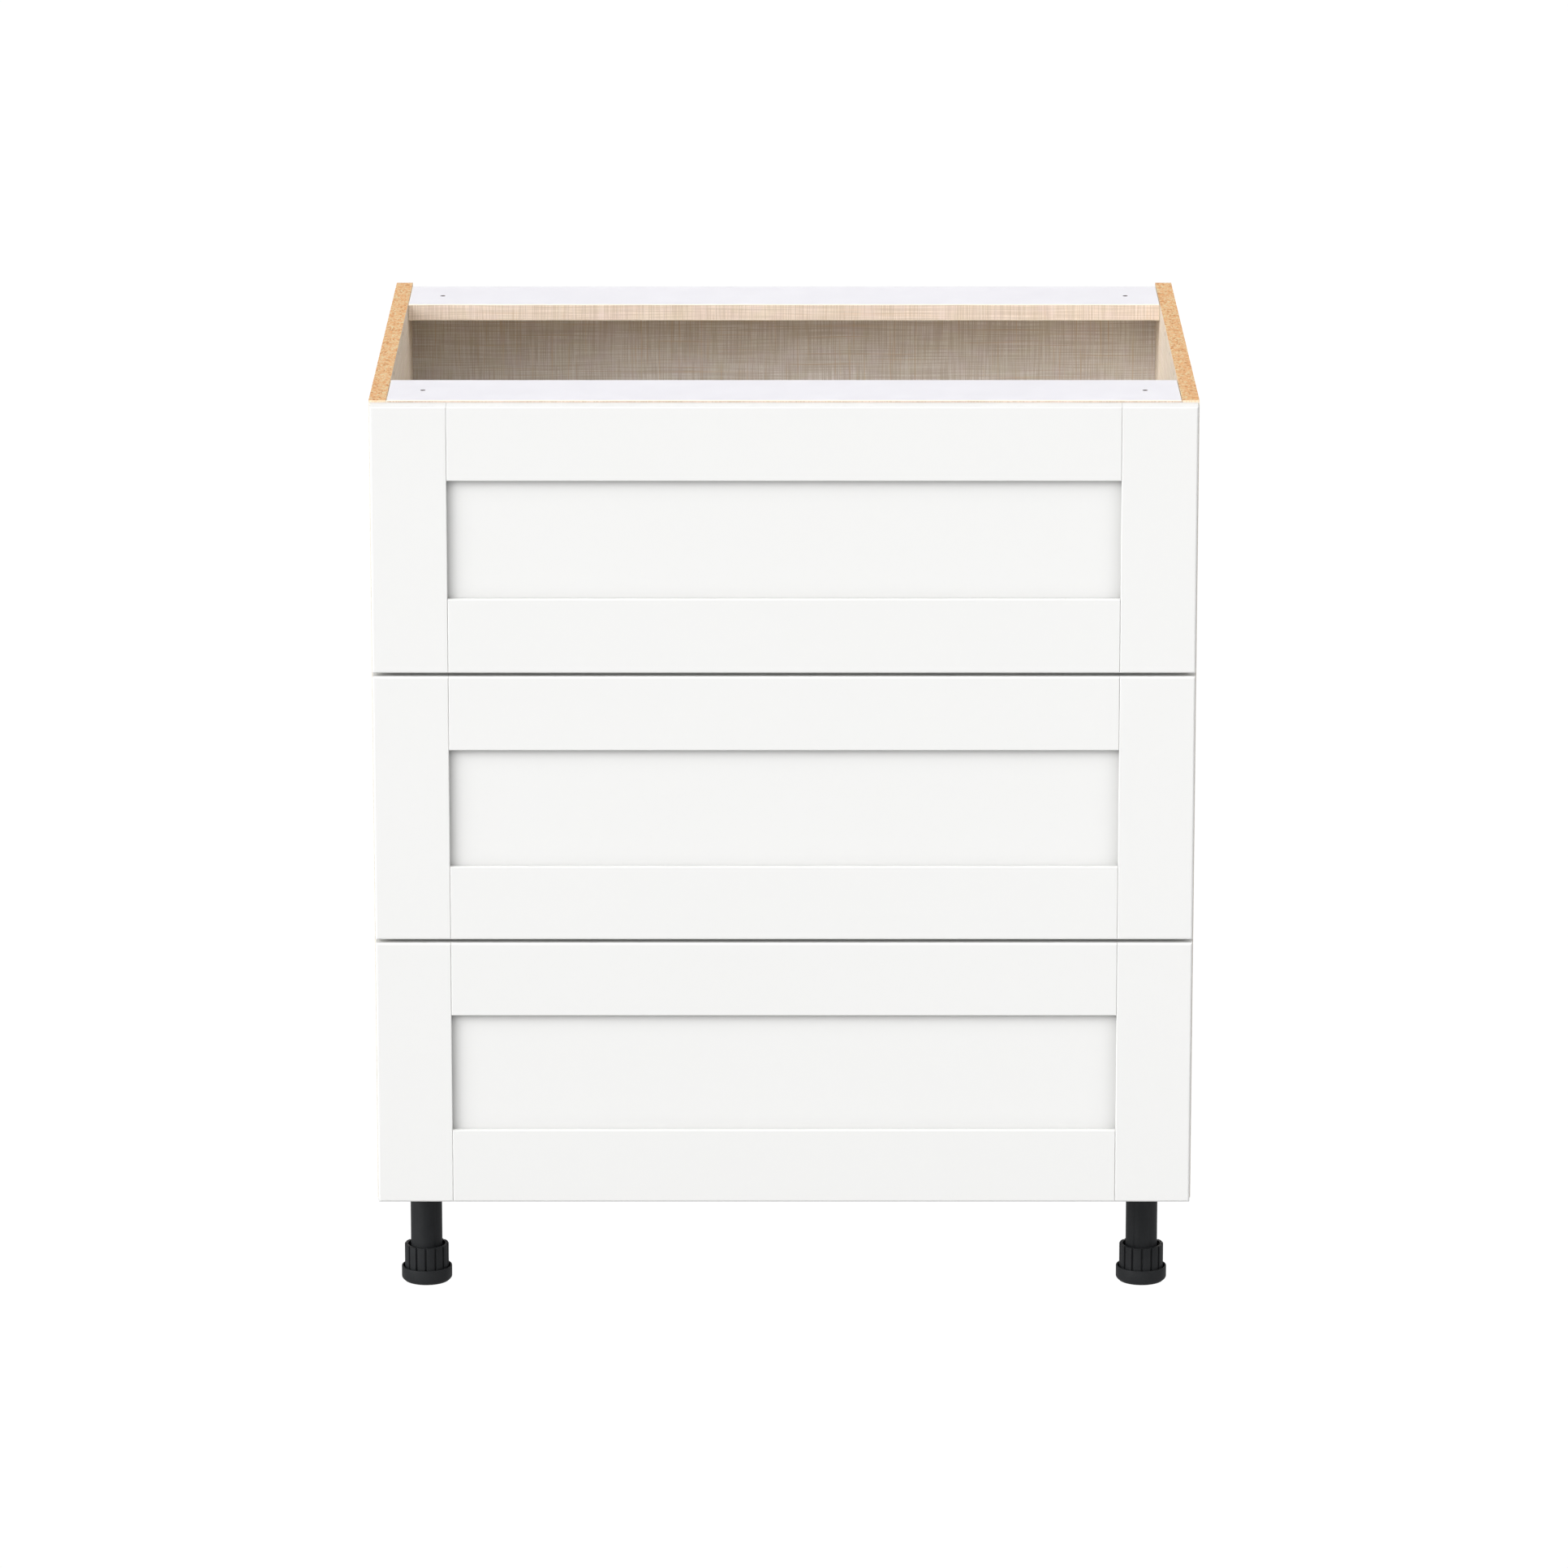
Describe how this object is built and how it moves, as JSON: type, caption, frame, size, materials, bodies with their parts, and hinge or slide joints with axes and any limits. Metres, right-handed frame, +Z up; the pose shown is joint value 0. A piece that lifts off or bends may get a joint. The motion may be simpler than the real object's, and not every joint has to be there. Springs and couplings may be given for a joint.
{
  "type": "base cabinet with drawers",
  "caption": "White frameless base cabinet with framed drawer fronts, full-extension steel-sided drawers, open top with flat rails and black adjustable legs.",
  "frame": {"origin": "on the floor, under the centre of the cabinet's bounding box", "axes": "+Z up, drawer fronts face -Y, +X to the right when facing the fronts"},
  "size_m": [0.762, 0.6096, 0.8763],
  "materials": {
    "front_white": "satin",
    "carcass_board": "matte",
    "rail_board": "satin",
    "back_board": "matte",
    "drawer_board": "matte",
    "drawer_steel": "satin",
    "runner_steel": "satin",
    "leg_plastic": "satin"
  },
  "bodies": {
    "carcass": {"side_panel_left": "carcass_board", "side_panel_right": "carcass_board", "bottom_panel": "carcass_board", "back_panel": "back_board", "top_rail_front": "rail_board", "top_rail_rear": "rail_board", "leg_front_left": "leg_plastic", "leg_front_right": "leg_plastic", "leg_rear_left": "leg_plastic", "leg_rear_right": "leg_plastic", "runner_top_left": "runner_steel", "runner_top_right": "runner_steel", "runner_middle_left": "runner_steel", "runner_middle_right": "runner_steel", "runner_bottom_left": "runner_steel", "runner_bottom_right": "runner_steel"},
    "drawer_top": {"drawer_top_front_stile_left": "front_white", "drawer_top_front_stile_right": "front_white", "drawer_top_front_rail_upper": "front_white", "drawer_top_front_rail_lower": "front_white", "drawer_top_front_panel": "front_white", "drawer_top_side_left": "drawer_steel", "drawer_top_side_right": "drawer_steel", "drawer_top_base": "drawer_board", "drawer_top_back": "drawer_board"},
    "runner_members_top": {"runner_middle_member_top_left": "runner_steel", "runner_middle_member_top_right": "runner_steel"},
    "drawer_middle": {"drawer_middle_front_stile_left": "front_white", "drawer_middle_front_stile_right": "front_white", "drawer_middle_front_rail_upper": "front_white", "drawer_middle_front_rail_lower": "front_white", "drawer_middle_front_panel": "front_white", "drawer_middle_side_left": "drawer_steel", "drawer_middle_side_right": "drawer_steel", "drawer_middle_base": "drawer_board", "drawer_middle_back": "drawer_board"},
    "runner_members_middle": {"runner_middle_member_middle_left": "runner_steel", "runner_middle_member_middle_right": "runner_steel"},
    "drawer_bottom": {"drawer_bottom_front_stile_left": "front_white", "drawer_bottom_front_stile_right": "front_white", "drawer_bottom_front_rail_upper": "front_white", "drawer_bottom_front_rail_lower": "front_white", "drawer_bottom_front_panel": "front_white", "drawer_bottom_side_left": "drawer_steel", "drawer_bottom_side_right": "drawer_steel", "drawer_bottom_base": "drawer_board", "drawer_bottom_back": "drawer_board"},
    "runner_members_bottom": {"runner_middle_member_bottom_left": "runner_steel", "runner_middle_member_bottom_right": "runner_steel"},
    "foot_front_left": {"foot_front_left": "leg_plastic"},
    "adjuster_front_left": {"leg_adjuster_front_left": "leg_plastic"},
    "foot_front_right": {"foot_front_right": "leg_plastic"},
    "adjuster_front_right": {"leg_adjuster_front_right": "leg_plastic"},
    "foot_rear_left": {"foot_rear_left": "leg_plastic"},
    "adjuster_rear_left": {"leg_adjuster_rear_left": "leg_plastic"},
    "foot_rear_right": {"foot_rear_right": "leg_plastic"},
    "adjuster_rear_right": {"leg_adjuster_rear_right": "leg_plastic"}
  },
  "joints": [
    {"name": "drawer_top_slide", "type": "slide", "parent": "carcass", "child": "drawer_top", "axis": [0, -1, 0], "range_m": [0, 0.52]},
    {"name": "runner_members_top_slide", "type": "slide", "parent": "carcass", "child": "runner_members_top", "axis": [0, -1, 0], "range_m": [0, 0.26]},
    {"name": "drawer_middle_slide", "type": "slide", "parent": "carcass", "child": "drawer_middle", "axis": [0, -1, 0], "range_m": [0, 0.52]},
    {"name": "runner_members_middle_slide", "type": "slide", "parent": "carcass", "child": "runner_members_middle", "axis": [0, -1, 0], "range_m": [0, 0.26]},
    {"name": "drawer_bottom_slide", "type": "slide", "parent": "carcass", "child": "drawer_bottom", "axis": [0, -1, 0], "range_m": [0, 0.52]},
    {"name": "runner_members_bottom_slide", "type": "slide", "parent": "carcass", "child": "runner_members_bottom", "axis": [0, -1, 0], "range_m": [0, 0.26]},
    {"name": "foot_front_left_height", "type": "slide", "parent": "carcass", "child": "foot_front_left", "axis": [0, 0, -1], "range_m": [-0.0101, 0.0101]},
    {"name": "adjuster_front_left_turn", "type": "hinge", "parent": "foot_front_left", "child": "adjuster_front_left", "pos_m": [-0.3405, -0.173, 0.02], "axis": [0, 0, -1], "range_deg": [-900, 900]},
    {"name": "foot_front_right_height", "type": "slide", "parent": "carcass", "child": "foot_front_right", "axis": [0, 0, -1], "range_m": [-0.0101, 0.0101]},
    {"name": "adjuster_front_right_turn", "type": "hinge", "parent": "foot_front_right", "child": "adjuster_front_right", "pos_m": [0.3405, -0.173, 0.02], "axis": [0, 0, -1], "range_deg": [-900, 900]},
    {"name": "foot_rear_left_height", "type": "slide", "parent": "carcass", "child": "foot_rear_left", "axis": [0, 0, -1], "range_m": [-0.0101, 0.0101]},
    {"name": "adjuster_rear_left_turn", "type": "hinge", "parent": "foot_rear_left", "child": "adjuster_rear_left", "pos_m": [-0.3405, 0.235, 0.02], "axis": [0, 0, -1], "range_deg": [-900, 900]},
    {"name": "foot_rear_right_height", "type": "slide", "parent": "carcass", "child": "foot_rear_right", "axis": [0, 0, -1], "range_m": [-0.0101, 0.0101]},
    {"name": "adjuster_rear_right_turn", "type": "hinge", "parent": "foot_rear_right", "child": "adjuster_rear_right", "pos_m": [0.3405, 0.235, 0.02], "axis": [0, 0, -1], "range_deg": [-900, 900]}
  ],
  "couplings": [
    {"joint": "runner_members_top_slide", "follows": "drawer_top_slide", "ratio": 0.5},
    {"joint": "runner_members_middle_slide", "follows": "drawer_middle_slide", "ratio": 0.5},
    {"joint": "runner_members_bottom_slide", "follows": "drawer_bottom_slide", "ratio": 0.5},
    {"joint": "foot_front_left_height", "follows": "adjuster_front_left_turn", "m_per_rad": 0.00063662},
    {"joint": "foot_front_right_height", "follows": "adjuster_front_right_turn", "m_per_rad": 0.00063662},
    {"joint": "foot_rear_left_height", "follows": "adjuster_rear_left_turn", "m_per_rad": 0.00063662},
    {"joint": "foot_rear_right_height", "follows": "adjuster_rear_right_turn", "m_per_rad": 0.00063662}
  ]
}
